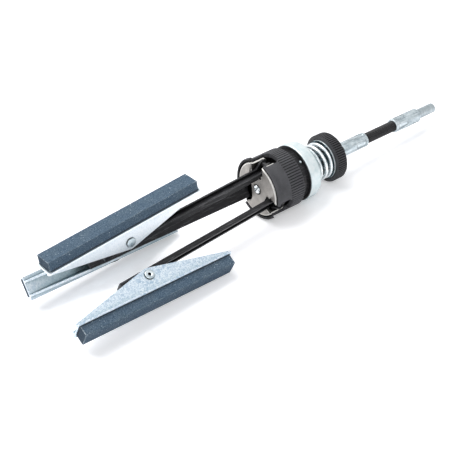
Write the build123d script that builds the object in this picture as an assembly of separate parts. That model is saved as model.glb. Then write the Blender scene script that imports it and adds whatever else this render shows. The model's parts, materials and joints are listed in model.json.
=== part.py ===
from build123d import *
import math
import os

# Three-stone cylinder hone, lying on two of its stones.
# +X runs along the drive axis towards the shank, +Z is the direction of the top stone.
# Stations along the axis are counted from the front face of the front plate, and the
# finished pieces move so that the origin is the root of the drive shank, on its axis.
# All lengths are in millimetres and all angles in degrees.

# Abrasive stones
stone_length = 100.0
stone_width = 11.3
stone_height = 6.0
stone_edge = 0.5

# Stone holders, folded from sheet
base_width = 14.1
base_thickness = 1.2
base_overhang = 1.1
ear_thickness = 1.25
ear_end_height = 2.6
ear_apex_radius = 4.4
ear_play = 0.15
rivet_to_stone = 10.05
stone_lead = 1.2

# Rivets through holder and arm
rivet_radius = 2.0
rivet_head_radius = 2.9
rivet_head_height = 0.9
dome_rise = 0.6
dome_run = 1.1

# Arms, folded from sheet into a channel that is open towards the stone
arm_reach = 101.7
arm_width = 6.9
arm_sheet = 1.3
arm_height = 3.1
arm_drop = 4.6
arm_tip = 17.2
arm_tip_round = 2.2
arm_ear_radius = 2.6
arm_ear_slope = 5.5
heel_length = 7.2
heel_lean = 17.5
heel_nose = 0.9

# Ribbed collar
collar_radius = 18.5
collar_wall = 2.45
collar_bore = collar_radius - collar_wall
collar_front = 0.0
collar_rear = 22.3
collar_web = 2.0
recess_gap = 1.1
lip_height = 1.2
lip_length = 2.0
lip_radius = collar_radius + lip_height
slot_half_width = 6.4
slot_end = 13.0
slot_corner = 2.5
rib_start = 11.5
rib_count = 68
rib_depth = 0.4
collar_front_bevel = 0.6
collar_rear_bevel = 0.5
key_width = 2.6
key_depth = 1.05
key_length = 5.0

# Arm pivots
pivot_station = 7.1
pivot_depth = 4.6
pivot_radius = collar_radius - pivot_depth
pin_radius = 1.5
running_play = 0.06
pin_proud = 0.3

# Rest position of the arms and stones, and where they sit round the axis
arm_places = {1: 0.0, 2: 120.0, 3: 240.0}
arm_rest = {1: -3.5, 2: 3.8, 3: 3.8}
stone_rest = {1: -5.4, 2: -0.5, 3: -0.1}

# Front plate with bent-back lugs
collar_lip = 1.4
plate_radius = collar_radius - collar_lip
plate_sheet = 1.5
plate_slot_below_pivot = 5.9
plate_slot_floor = pivot_radius - plate_slot_below_pivot
lug_play = 0.4
lug_below_pivot = 3.6
lug_floor = pivot_radius - lug_below_pivot
lug_above_pivot = 2.1
lug_top = pivot_radius + lug_above_pivot
lug_end = 3.9
lug_corner = 1.2
lug_bend = 1.9
plate_hole_radius = 3.0

# Spindle
spindle_radius = 4.0
spindle_shoulder_radius = 5.2
spindle_shoulder = 1.5
spindle_nose_play = 0.05
spindle_nose_set_back = 0.5
spindle_rear = 77.0

# Screw that holds the front plate
screw_head_radius = 2.35
screw_head_height = 1.5
screw_head_bevel = 0.6
screw_shank_radius = 1.5
screw_length = 8.0
screw_slot = 0.6

# Tension spring
spring_radius = 12.0
wire_radius = 1.15
open_coils = 1.0
coil_gap = 0.05
coil_steps = 16
wire_sides = 8
spring_phase = 144.0

# Spring cup
cup_below_collar = 0.3
cup_radius = collar_radius - cup_below_collar
cup_front_bevel = 0.6
cup_barrel_end = 34.0
cup_shoulder_end = 35.8
cup_shoulder_drop = 1.3
cup_rear = 40.3
cup_seat_margin = 0.6
cup_seat_radius = spring_radius + cup_seat_margin

# Thrust sleeve that pushes the arm heels
sleeve_play = 0.25
sleeve_radius = collar_bore - sleeve_play
sleeve_gap = 0.3
nose_below_pivot = 4.5
sleeve_nose_radius = pivot_radius - nose_below_pivot
sleeve_nose_length = 5.4
sleeve_rear = 27.65
sleeve_flange = 0.45
flange_below_cup = 0.3
flange_radius = cup_radius - flange_below_cup
guide_pin_radius = 0.8
guide_pin_proud = 0.85
guide_pin_bevel = 0.25
guide_pin_depth = 1.6
guide_pin_set_back = 3.9
guide_pin_place = 38.0

# Tension nut and its washer
washer_margin = 0.5
washer_radius = spring_radius + washer_margin
washer_thickness = 1.5
washer_play = 0.05
nut_front = 52.5
nut_rear = 60.4
nut_radius = 15.3
nut_recess_play = 0.2
nut_recess_radius = washer_radius + nut_recess_play
nut_recess_depth = 0.6
nut_rear_bevel = 0.9
nut_front_step = 0.6
knurl_count = 66
knurl_depth = 0.35

# Flexible drive
ferrule_radius = 4.6
ferrule_bevel = 0.7
front_ferrule_front = 67.5
front_ferrule_rear = 88.5
cable_radius = 3.5
rear_ferrule_front = 113.6
rear_ferrule_rear = 135.5
cable_grip = 11.0
crimp_play = 0.02
crimp_flat = 4.15
crimp_length = 8.0
crimp_inset = 2.2
shank_radius = 3.175
shank_length = 15.5
shank_grip = 9.5
shank_bevel = 0.8
spigot_radius = 2.9


def along_x(radius, start, end):
    """A round bar on the axis from one station to another."""
    bar = Cylinder(radius, end - start, align=(Align.CENTER, Align.CENTER, Align.MIN))
    return Pos(start, 0, 0) * Rot(0, 90, 0) * bar


def tube_x(outer, inner, start, end):
    """A round tube on the axis, cut through past both its ends."""
    return along_x(outer, start, end) - along_x(inner, start - 1, end + 1)


def across_y(radius, x, z, half):
    """A round bar across the tool, centred on the middle plane."""
    return Pos(x, 0, z) * Rot(90, 0, 0) * Cylinder(radius, 2 * half)


def block(x0, x1, y0, y1, z0, z1):
    """A rectangular block between two corners."""
    box = Box(x1 - x0, y1 - y0, z1 - z0)
    return Pos((x0 + x1) / 2, (y0 + y1) / 2, (z0 + z1) / 2) * box


def plate_y(outline, y0, y1):
    """A flat outline in x and z, given thickness between two places across the tool."""
    sheet = extrude(Plane.XZ * outline, amount=-(y1 - y0))
    return Pos(0, y0, 0) * sheet


def revolve_x(points):
    """A solid turned round the axis from points of station and radius."""
    return revolve(make_face(Polyline(*[(x, 0, r) for x, r in points], close=True)), Axis.X)


def toothed_bar(radius, depth, count, start, end):
    """A bar with shallow vee grooves along it, as on a ribbed grip or a knurled nut."""
    step = 360 / count
    points = []
    for number in range(count):
        for share, low in ((0.0, 0.0), (0.5, 0.0), (0.75, 1.0)):
            angle = math.radians((number + share) * step)
            reach = radius - low * depth
            points.append((reach * math.cos(angle), reach * math.sin(angle)))
    outline = make_face(Polyline(*points, close=True))
    return Pos(start, 0, 0) * Rot(0, 90, 0) * extrude(outline, amount=end - start)


def ring_copies(shape):
    """The same shape at each arm's place round the axis."""
    return [Rot(turn, 0, 0) * shape for turn in arm_places.values()]


lug_inner = arm_width / 2 + lug_play
lug_outer = lug_inner + plate_sheet
web_rear = plate_sheet + collar_web


def front_plate():
    """Disc with three slots whose sides are bent back into lugs for the arm pivots."""
    disc = along_x(plate_radius, 0, plate_sheet) - along_x(plate_hole_radius, -1, plate_sheet + 1)
    narrow = block(-1, 2 * plate_sheet, -lug_inner, lug_inner, plate_slot_floor, 2 * plate_radius)
    wide = block(-1, 2 * plate_sheet, -lug_outer, lug_outer, lug_floor, 2 * plate_radius)
    for cut in ring_copies(narrow + wide):
        disc -= cut
    lug_rear = pivot_station + lug_end
    bend = [
        (0, lug_inner),
        (lug_rear, lug_inner),
        (lug_rear, lug_outer),
        (plate_sheet, lug_outer),
        (plate_sheet, lug_outer + lug_bend),
        (0, lug_outer + lug_bend),
    ]
    section = make_face(Polyline(*bend, close=True))
    section = fillet(section.vertices().sort_by_distance((0, lug_inner, 0))[0], lug_bend)
    lug = Pos(0, 0, lug_floor) * extrude(section, amount=lug_top - lug_floor)
    ends = lug.edges().filter_by(Axis.Y).group_by(Axis.X)[-1]
    lug = chamfer(ends, lug_corner)
    lug -= across_y(pin_radius, pivot_station, pivot_radius, 2 * lug_outer)
    pair = lug + mirror(lug, Plane.XZ)
    rim = along_x(plate_radius, -1, lug_rear + 1)
    for copy in ring_copies(pair & rim):
        disc += copy
    return disc


def slot_outline(start):
    """Half the width of an arm slot in the collar, with its closed end cut back at the corners."""
    side = slot_half_width
    end = slot_end
    corner = slot_corner
    points = [(start, -side), (end - corner, -side), (end, corner - side)]
    points += [(end, side - corner), (end - corner, side), (start, side)]
    return make_face(Polyline(*points, close=True))


def collar():
    """Moulded grip with a lip and three arm slots in front and axial ribs behind."""
    rib_end = collar_rear - collar_rear_bevel
    lip_end = collar_front + lip_length
    barrel = revolve_x([
        (collar_front, 0),
        (collar_front, lip_radius - collar_front_bevel),
        (collar_front + collar_front_bevel, lip_radius),
        (lip_end, lip_radius),
        (lip_end, collar_radius),
        (rib_start, collar_radius),
        (rib_start, collar_radius - rib_depth),
        (rib_end, collar_radius - rib_depth),
        (collar_rear, collar_radius - rib_depth - collar_rear_bevel),
        (collar_rear, 0),
    ])
    body = barrel + toothed_bar(collar_radius, rib_depth, rib_count, rib_start, rib_end)
    body -= along_x(plate_radius + recess_gap, collar_front - 1, plate_sheet)
    body -= along_x(spindle_radius + spindle_nose_play, 0, web_rear + 1)
    body -= along_x(collar_bore, web_rear, collar_rear + 1)
    slot = extrude(slot_outline(collar_front - 1), amount=2 * collar_radius)
    slot -= Pos(0, 0, plate_slot_floor / 2) * Box(4 * slot_end, 4 * slot_end, plate_slot_floor)
    for cut in ring_copies(slot):
        body -= cut
    half = key_width / 2
    key = block(collar_rear - key_length, collar_rear + 1, -half, half, 0, collar_bore + key_depth)
    return body - Rot(guide_pin_place, 0, 0) * key


def spindle():
    """Threaded rod with a shoulder behind the collar's web and a nose in the front plate."""
    nose = along_x(plate_hole_radius - spindle_nose_play, spindle_nose_set_back, web_rear)
    journal = along_x(spindle_radius, plate_sheet, spindle_rear)
    shoulder = along_x(spindle_shoulder_radius, web_rear, web_rear + spindle_shoulder)
    tapped = along_x(screw_shank_radius, spindle_nose_set_back - 1, spindle_nose_set_back + screw_length)
    return nose + journal + shoulder - tapped


def end_screw():
    """Slotted screw whose head lies in the front plate's hole."""
    front = spindle_nose_set_back - screw_head_height
    head = along_x(screw_head_radius, front, spindle_nose_set_back)
    head = chamfer(head.edges().sort_by(Axis.X)[0], screw_head_bevel)
    shank = along_x(screw_shank_radius, spindle_nose_set_back, spindle_nose_set_back + screw_length)
    half = screw_slot / 2
    slot = block(front - 1, front + screw_slot, -half, half, -screw_head_radius, screw_head_radius)
    return head + shank - slot


def pivot_pin():
    """Pin through a pair of lugs and the arm between them."""
    return across_y(pin_radius, pivot_station, pivot_radius, lug_outer + pin_proud)


def arm_side():
    """Side outline of the arm, with the pivot at the origin and the front towards -x."""
    floor = -arm_drop
    top = floor + arm_height
    front = arm_reach + arm_tip
    strip = make_face(Polyline((0, floor), (-front, floor), (-front, top), (0, top), close=True))
    corners = strip.vertices().group_by(Axis.X)[0]
    strip = fillet(corners.sort_by(Axis.Y)[-1], arm_tip_round)
    root = make_hull([*Circle(arm_ear_radius).edges(), *foot(0, arm_ear_slope, 0, top)])
    eye = Pos(-arm_reach, 0) * Circle(arm_ear_radius)
    lift = make_hull([*eye.edges(), *foot(-arm_reach, arm_ear_slope, -arm_ear_slope, top)])
    return strip + root + lift


def foot(centre, ahead, behind, top):
    """The stretch of the channel that an ear stands on."""
    floor = -arm_drop
    places = [(centre - ahead, floor), (centre - behind, floor), (centre - behind, top), (centre - ahead, top)]
    return Polyline(*places, close=True).edges()


def heel_side():
    """The inward tongue at the arm's root that the sleeve pushes."""
    lean = math.radians(heel_lean)
    nose = Pos(heel_length * math.sin(lean), -heel_length * math.cos(lean)) * Circle(heel_nose)
    root = Pos(0, heel_nose - arm_drop) * Circle(heel_nose)
    return make_hull([*nose.edges(), *root.edges()])


def arm():
    """Channel arm with raised ears at both pivots and a heel bent in at its root."""
    half = arm_width / 2
    inside = half - arm_sheet
    body = plate_y(arm_side(), -half, half)
    front = arm_reach + arm_tip + 1
    body -= block(-front, 2 * arm_ear_radius, -inside, inside, arm_sheet - arm_drop, 2 * arm_ear_radius)
    body += plate_y(heel_side(), -half, half)
    bore = across_y(pin_radius + running_play, 0, 0, arm_width)
    eye = across_y(rivet_radius + running_play, -arm_reach, 0, arm_width)
    return body - bore - eye


ear_inner = arm_width / 2 + ear_play
ear_outer = ear_inner + ear_thickness
half_holder = stone_length / 2 + base_overhang


def holder():
    """Sheet base with two long ears that come down to the rivet, which is the origin."""
    front = -stone_lead - half_holder
    rear = -stone_lead + half_holder
    base = block(front, rear, -base_width / 2, base_width / 2, rivet_to_stone - base_thickness, rivet_to_stone)
    low = rivet_to_stone - ear_end_height
    strip = Polyline((front, low), (rear, low), (rear, rivet_to_stone), (front, rivet_to_stone), close=True)
    side = make_hull([*Circle(ear_apex_radius).edges(), *strip.edges()])
    ears = plate_y(side, ear_inner, ear_outer) + plate_y(side, -ear_outer, -ear_inner)
    return base + ears - across_y(rivet_radius, 0, 0, base_width)


def holder_rivet():
    """Rivet with a domed head on one side and a flat set head on the other."""
    shank = across_y(rivet_radius, 0, 0, ear_outer)
    head = Cylinder(rivet_head_radius, rivet_head_height, align=(Align.CENTER, Align.CENTER, Align.MIN))
    dome = chamfer(head.edges().sort_by(Axis.Z)[-1], dome_rise, dome_run)
    near = Pos(0, -ear_outer, 0) * Rot(90, 0, 0)
    far = Pos(0, ear_outer, 0) * Rot(-90, 0, 0)
    return shank + near * dome + far * head


def stone():
    """Abrasive stick bonded to the holder's base."""
    width = stone_width / 2
    centre = -stone_lead
    half = stone_length / 2
    top = rivet_to_stone + stone_height
    stick = block(centre - half, centre + half, -width, width, rivet_to_stone, top)
    upper = [edge for edge in stick.edges() if edge.center().Z > rivet_to_stone + stone_edge]
    return chamfer(upper, stone_edge)


def heel_station(angle):
    """How far back the heel of an arm reaches when the arm stands at an angle."""
    return pivot_station + heel_length * math.sin(math.radians(heel_lean - angle)) + heel_nose


sleeve_front = heel_station(min(arm_rest.values())) + sleeve_gap


def thrust_sleeve():
    """Slider whose nose pushes the heels and whose flanged neck shows behind the collar."""
    nose_end = sleeve_front + sleeve_nose_length
    flange_front = sleeve_rear - sleeve_flange
    bore = spindle_radius + running_play
    profile = [
        (sleeve_front, bore),
        (sleeve_front, sleeve_nose_radius),
        (nose_end, sleeve_nose_radius),
        (nose_end, sleeve_radius),
        (flange_front, sleeve_radius),
        (flange_front, flange_radius),
        (sleeve_rear, flange_radius),
        (sleeve_rear, bore),
    ]
    hole = Pos(collar_rear + guide_pin_set_back, 0, sleeve_radius - guide_pin_depth)
    hole *= Cylinder(guide_pin_radius, 2 * guide_pin_depth, align=(Align.CENTER, Align.CENTER, Align.MIN))
    return revolve_x(profile) - Rot(guide_pin_place, 0, 0) * hole


def guide_pin():
    """Pin in the sleeve's neck that runs in the collar's keyway."""
    length = guide_pin_depth + guide_pin_proud
    pin = Cylinder(guide_pin_radius, length, align=(Align.CENTER, Align.CENTER, Align.MIN))
    pin = chamfer(pin.edges().sort_by(Axis.Z)[-1], guide_pin_bevel)
    pin = Pos(collar_rear + guide_pin_set_back, 0, sleeve_radius - guide_pin_depth) * pin
    return Rot(guide_pin_place, 0, 0) * pin


def spring_cup():
    """Round-shouldered collar behind the sleeve, whose rear face carries the spring."""
    hub = spindle_radius + running_play
    return revolve_x([
        (sleeve_rear, hub),
        (sleeve_rear, cup_radius - cup_front_bevel),
        (sleeve_rear + cup_front_bevel, cup_radius),
        (cup_barrel_end, cup_radius),
        (cup_shoulder_end, cup_radius - cup_shoulder_drop),
        (cup_rear, cup_seat_radius),
        (cup_rear, hub),
    ])


washer_rear = nut_front + nut_recess_depth - washer_play
washer_front = washer_rear - washer_thickness


def coil_spring():
    """Wire spring with closed ends, between the cup's rear face and the washer."""
    start = cup_rear + wire_radius
    end = washer_front - wire_radius
    closed_pitch = 2 * wire_radius + coil_gap
    open_pitch = (end - start - 2 * closed_pitch) / open_coils
    coil = spring_radius - wire_radius
    points = []
    steps = round((open_coils + 2) * coil_steps)
    for step in range(steps + 1):
        turn = step / coil_steps
        opened = min(max(turn - 1, 0), open_coils)
        angle = math.radians(360 * turn + spring_phase)
        along = start + (turn - opened) * closed_pitch + opened * open_pitch
        points.append((along, coil * math.cos(angle), coil * math.sin(angle)))
    path = Polyline(*points)
    section = Plane(path @ 0, z_dir=path % 0) * RegularPolygon(wire_radius, wire_sides)
    return sweep(section, path=path, transition=Transition.RIGHT)


def thrust_washer():
    """Flat washer seated in front of the nut, which takes the spring's end."""
    return tube_x(washer_radius, spindle_radius + running_play, washer_front, washer_rear)


def tension_nut():
    """Knurled nut on the spindle's thread, recessed in front for the washer."""
    core = nut_radius - knurl_depth
    knurl_front = nut_front + nut_front_step
    grip = toothed_bar(nut_radius, knurl_depth, knurl_count, knurl_front, nut_rear - nut_rear_bevel)
    barrel = revolve_x([
        (nut_front, 0),
        (nut_front, core),
        (nut_rear - nut_rear_bevel, core),
        (nut_rear, core - nut_rear_bevel),
        (nut_rear, 0),
    ])
    body = barrel + grip
    body -= along_x(nut_recess_radius, nut_front - 1, nut_front + nut_recess_depth)
    return body - along_x(spindle_radius + running_play, nut_front, nut_rear + 1)


def ferrule(start, end, crimp_start, bores):
    """Crimped sleeve with six flats pressed in, and a bore for what enters each end."""
    tube = along_x(ferrule_radius, start, end)
    tube = chamfer(tube.edges().filter_by(GeomType.CIRCLE), ferrule_bevel)
    flats = RegularPolygon(crimp_flat, 6, major_radius=False)
    ring = along_x(2 * ferrule_radius, crimp_start, crimp_start + crimp_length)
    ring -= Pos(crimp_start - 1, 0, 0) * Rot(0, 90, 0) * extrude(flats, amount=crimp_length + 2)
    tube -= ring
    for radius, first, last in bores:
        tube -= along_x(radius, first, last)
    return tube


def front_ferrule():
    """Ferrule that joins the spindle's end to the cable."""
    crimp = front_ferrule_rear - crimp_inset - crimp_length
    bores = [
        (spindle_radius + crimp_play, front_ferrule_front - 1, spindle_rear),
        (cable_radius + crimp_play, spindle_rear - 1, front_ferrule_rear + 1),
    ]
    return ferrule(front_ferrule_front, front_ferrule_rear, crimp, bores)


def rear_ferrule():
    """Ferrule that joins the cable to the drive shank."""
    bores = [
        (cable_radius + crimp_play, rear_ferrule_front - 1, rear_ferrule_front + cable_grip),
        (spigot_radius, rear_ferrule_rear - shank_grip, rear_ferrule_rear + 1),
    ]
    return ferrule(rear_ferrule_front, rear_ferrule_rear, rear_ferrule_front + crimp_inset, bores)


def drive_shank():
    """Plain round shank for a drill chuck, with a spigot held in the rear ferrule."""
    bar = along_x(shank_radius, rear_ferrule_rear, rear_ferrule_rear + shank_length)
    bar = chamfer(bar.edges().sort_by(Axis.X)[-1], shank_bevel)
    return bar + along_x(spigot_radius, rear_ferrule_rear - shank_grip, rear_ferrule_rear)


def seated(shape, number):
    """An arm's piece carried to its pivot, swung to its rest angle and set round the axis."""
    swung = Pos(pivot_station, 0, pivot_radius) * Rot(0, arm_rest[number], 0) * shape
    return Rot(arm_places[number], 0, 0) * swung


def on_rivet(shape, number):
    """A holder's piece carried to the arm's rivet and tilted to its rest angle."""
    tilt = stone_rest[number] - arm_rest[number]
    return seated(Pos(-arm_reach, 0, 0) * Rot(0, tilt, 0) * shape, number)


pieces = {
    "front_plate": front_plate(),
    "collar": collar(),
    "spindle": spindle(),
    "end_screw": end_screw(),
    "thrust_sleeve": thrust_sleeve(),
    "guide_pin": guide_pin(),
    "spring_cup": spring_cup(),
    "tension_spring": coil_spring(),
    "thrust_washer": thrust_washer(),
    "tension_nut": tension_nut(),
    "front_ferrule": front_ferrule(),
    "drive_cable": along_x(cable_radius, spindle_rear, rear_ferrule_front + cable_grip),
    "rear_ferrule": rear_ferrule(),
    "drive_shank": drive_shank(),
}
one_arm = arm()
one_holder = holder()
one_rivet = holder_rivet()
one_stone = stone()
one_pin = pivot_pin()
for place in arm_places:
    pieces[f"pivot_pin_{place}"] = Rot(arm_places[place], 0, 0) * one_pin
    pieces[f"arm_{place}"] = seated(one_arm, place)
    pieces[f"holder_{place}"] = on_rivet(one_holder, place)
    pieces[f"holder_rivet_{place}"] = on_rivet(one_rivet, place)
    pieces[f"stone_{place}"] = on_rivet(one_stone, place)

os.makedirs("parts", exist_ok=True)
for name, piece in pieces.items():
    export_step(Pos(-rear_ferrule_rear, 0, 0) * piece, f"parts/{name}.step")
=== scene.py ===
import json
import math

import bmesh
import bpy
from mathutils import Matrix, Vector, noise


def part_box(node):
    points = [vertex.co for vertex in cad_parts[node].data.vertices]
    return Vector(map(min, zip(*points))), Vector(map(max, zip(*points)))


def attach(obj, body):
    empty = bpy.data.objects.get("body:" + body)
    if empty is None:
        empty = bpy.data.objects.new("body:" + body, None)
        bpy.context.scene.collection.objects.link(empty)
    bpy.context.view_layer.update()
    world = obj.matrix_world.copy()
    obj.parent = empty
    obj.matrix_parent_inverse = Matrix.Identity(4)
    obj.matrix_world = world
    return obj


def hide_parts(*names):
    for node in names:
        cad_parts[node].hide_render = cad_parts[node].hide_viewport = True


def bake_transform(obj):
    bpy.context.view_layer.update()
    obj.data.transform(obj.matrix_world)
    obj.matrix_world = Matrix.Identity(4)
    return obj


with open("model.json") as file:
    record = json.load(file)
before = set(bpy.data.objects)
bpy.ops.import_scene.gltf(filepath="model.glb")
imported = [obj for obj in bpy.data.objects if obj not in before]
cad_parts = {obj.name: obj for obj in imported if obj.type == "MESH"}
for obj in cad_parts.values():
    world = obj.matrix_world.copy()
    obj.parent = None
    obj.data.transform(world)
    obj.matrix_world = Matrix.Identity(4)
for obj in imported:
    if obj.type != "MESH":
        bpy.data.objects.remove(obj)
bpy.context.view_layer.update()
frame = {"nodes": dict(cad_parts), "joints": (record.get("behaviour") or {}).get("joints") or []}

MM = 0.001
arms = (1, 2, 3)


# Stations along the axis and radii that the pieces share, read off the frame
def reach(node):
    """Front station, rear station and outer radius of a node that is turned on the axis, in metres."""
    low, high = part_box(node)
    return low.x, high.x, high.z


cup_front, cup_rear, cup_radius = reach("spring_cup")
nut_front, nut_rear, nut_radius = reach("tension_nut")
spring_front, spring_rear, spring_radius = reach("tension_spring")
ferrule_1_front, ferrule_1_rear, ferrule_radius = reach("front_ferrule")
ferrule_2_front, ferrule_2_rear, _ = reach("rear_ferrule")
cable_front, cable_rear, cable_radius = reach("drive_cable")
collar_front = reach("collar")[0]

# Camera
camera_place = (-0.5123, -0.4752, 0.3712)
camera_azimuth = -36.47
camera_elevation = 33.1
camera_roll = -3.62
camera_lens = 94.92

# Floor, which the tool lies on with two stones and the cup, its axis sloping down to the rear
floor_slope = 0.0646
floor_size = 6.0
floor_glow = 0.34

# Light: each lamp's place, size and power
world_colour = (0.97, 0.985, 1.0)
world_light = 0.55
world_seen = 1.0
lamp_target = (-0.12, 0, 0)
lamps = {
    "Overhead": ((-0.45, 0.55, 1.2), 1.0, 17),
    "Front": ((-0.9, -0.9, 0.9), 0.7, 4),
}

# Abrasive stones
stone_round = 0.35 * MM
stone_wear = 0.22 * MM
stone_wear_width = 0.8 * MM
long_edge_wear = 0.55
stone_cell = 1.2 * MM
bead_height = 0.35 * MM
bead_proud = 0.12 * MM

# Spring
wire_radius = 1.15 * MM
spring_turns = 2.7
spring_seat_turns = 0.35
coil_steps = 48
wire_sides = 16
spring_phase = 14.8

# Rivets, from the outer face of a holder's ear
rivet_hollow = 0.95 * MM
rivet_shank = 1.9 * MM
rivet_ear = 4.85 * MM
point_radius = 0.02 * MM

# Cup's form
cup_front_round = 1.0 * MM
cup_barrel = 6.95 * MM
cup_seat_radius = 12.6 * MM
shoulder_rise = 1.2 * MM

# Screw in the front plate
screw_radius = 3.4 * MM
screw_dome = 1.2 * MM
screw_dome_radius = 2.7 * MM
screw_slot = 0.30 * MM
screw_slot_deep = 0.8 * MM
screw_turn = math.radians(35)

# Front plate
plate_face = collar_front + 0.2 * MM
plate_rim = 16.9 * MM
plate_rim_round = 0.75 * MM
lug_start = collar_front + 1.8 * MM

# Arms: the long folds under a channel are rounder than its cut edges
fold_round = 0.9 * MM
fold_below = -3.5 * MM

# Nut
knurl_count = 66
knurl_depth = 0.55 * MM
nut_bevel = 1.1 * MM
nut_recess = 0.6 * MM
nut_recess_radius = 12.7 * MM

# Spindle thread
thread_radius = 4.0 * MM
thread_pitch = 1.25 * MM
thread_depth = 0.6 * MM
thread_front = cup_rear - 2.0 * MM
thread_bore = thread_radius + 0.06 * MM

# Flexible shaft, wound from a layer of wires
cable_wires = 4
cable_wire_pitch = 3.4 * MM
cable_groove = 0.22 * MM

# Ferrules
crimp_long = 9.0 * MM
crimp_wide = 3.9 * MM
crimp_deep = 0.5 * MM
crimp_turn = 83
crimp_inset = 1.6 * MM
crimp_end = 1.2 * MM
ferrule_edge = 0.7 * MM


# Mesh helpers
def new_object(name, data):
    """A new object in the scene."""
    made = bpy.data.objects.new(name, data)
    bpy.context.scene.collection.objects.link(made)
    return made


def add_piece(name, mesh, material, body, replaced=()):
    """A shown piece that rides on a body and stands for CAD nodes."""
    mesh.materials.clear()
    mesh.materials.append(materials[material])
    piece = new_object(name, mesh)
    if body:
        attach(piece, body)
    if replaced:
        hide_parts(*replaced)
    return piece


def paint(mesh, material, chosen):
    """A further material of a mesh, on the faces that chosen() picks."""
    mesh.materials.append(materials[material])
    for face in mesh.polygons:
        if chosen(face):
            face.material_index = len(mesh.materials) - 1


def mesh_of(name, points, faces, sharp=40):
    """A smooth-shaded mesh whose edges are sharp above an angle in degrees."""
    mesh = bpy.data.meshes.new(name)
    mesh.from_pydata([tuple(p) for p in points], [], faces)
    mesh.validate()
    finish_shading(mesh, sharp)
    return mesh


def finish_shading(mesh, sharp):
    """Smooth shading with outward faces and sharp edges above an angle in degrees."""
    work = bmesh.new()
    work.from_mesh(mesh)
    bmesh.ops.recalc_face_normals(work, faces=work.faces)
    work.to_mesh(mesh)
    work.free()
    mesh.shade_smooth()
    mesh.set_sharp_from_angle(angle=math.radians(sharp))


def lathe(name, profile, segments=144, ripple=None, closed=True, sharp=40):
    """A profile of (x, radius) points turned round the axis; ripple(x, radius, angle) takes depth off."""
    points = []
    faces = []
    rings = len(profile)
    for x, radius in profile:
        for step in range(segments):
            angle = 2 * math.pi * step / segments
            r = radius - (ripple(x, radius, angle) if ripple else 0)
            points.append((x, r * math.cos(angle), r * math.sin(angle)))
    for ring in range(rings if closed else rings - 1):
        for step in range(segments):
            a = ring * segments + step
            b = ring * segments + (step + 1) % segments
            shift = ((ring + 1) % rings - ring) * segments
            faces.append((a, b, b + shift, a + shift))
    return mesh_of(name, points, faces, sharp)


def tube_along(name, path, radius, sides):
    """A round tube swept along points, with closed ends."""
    points = []
    faces = []
    last = len(path) - 1
    for step, point in enumerate(path):
        ahead = path[min(step + 1, last)] - path[max(step - 1, 0)]
        out = Vector((0, point.y, point.z)).normalized()
        side = ahead.cross(out).normalized()
        up = side.cross(ahead).normalized()
        for turn in range(sides):
            angle = 2 * math.pi * turn / sides
            points.append(point + radius * (math.cos(angle) * up + math.sin(angle) * side))
    for step in range(last):
        for turn in range(sides):
            a = step * sides + turn
            b = step * sides + (turn + 1) % sides
            faces.append((a, b, b + sides, a + sides))
    faces.append(tuple(range(sides)))
    faces.append(tuple(last * sides + turn for turn in range(sides)))
    return mesh_of(name, points, faces)


def finished_copy(node, width, soft, soft_width):
    """A copy of a CAD node's mesh whose bevel weights round its edges, more where soft() picks them."""
    mesh = frame["nodes"][node].data.copy()
    mesh.name = node + "_finished"
    work = bmesh.new()
    work.from_mesh(mesh)
    bmesh.ops.remove_doubles(work, verts=work.verts, dist=2e-6)
    flat = math.radians(0.6)
    bmesh.ops.dissolve_limit(work, angle_limit=flat, verts=work.verts, edges=work.edges)
    weight = work.edges.layers.float.new("bevel_weight_edge")
    for edge in work.edges:
        edge.smooth = True
        if len(edge.link_faces) == 2 and edge.calc_face_angle() > math.radians(28):
            edge[weight] = 1 if soft is None or soft(edge) else width / soft_width
    work.to_mesh(mesh)
    work.free()
    if "custom_normal" in mesh.attributes:
        mesh.attributes.remove(mesh.attributes["custom_normal"])
    mesh.shade_smooth()
    return mesh


def add_finished(node, material, body, width, segments=3, soft=None, soft_width=None):
    """Shows a CAD node as a copy of itself with rounded edges."""
    mesh = finished_copy(node, width, soft, soft_width)
    piece = add_piece(node + "_finished", mesh, material, body, (node,))
    bevel = piece.modifiers.new("Rounded edges", "BEVEL")
    bevel.limit_method = "WEIGHT"
    bevel.width = soft_width or width
    bevel.segments = segments
    bevel.harden_normals = False
    bevel.miter_outer = "MITER_ARC"
    smooth = piece.modifiers.new("Even shading", "WEIGHTED_NORMAL")
    smooth.keep_sharp = True
    smooth.weight = 80
    return piece


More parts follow.
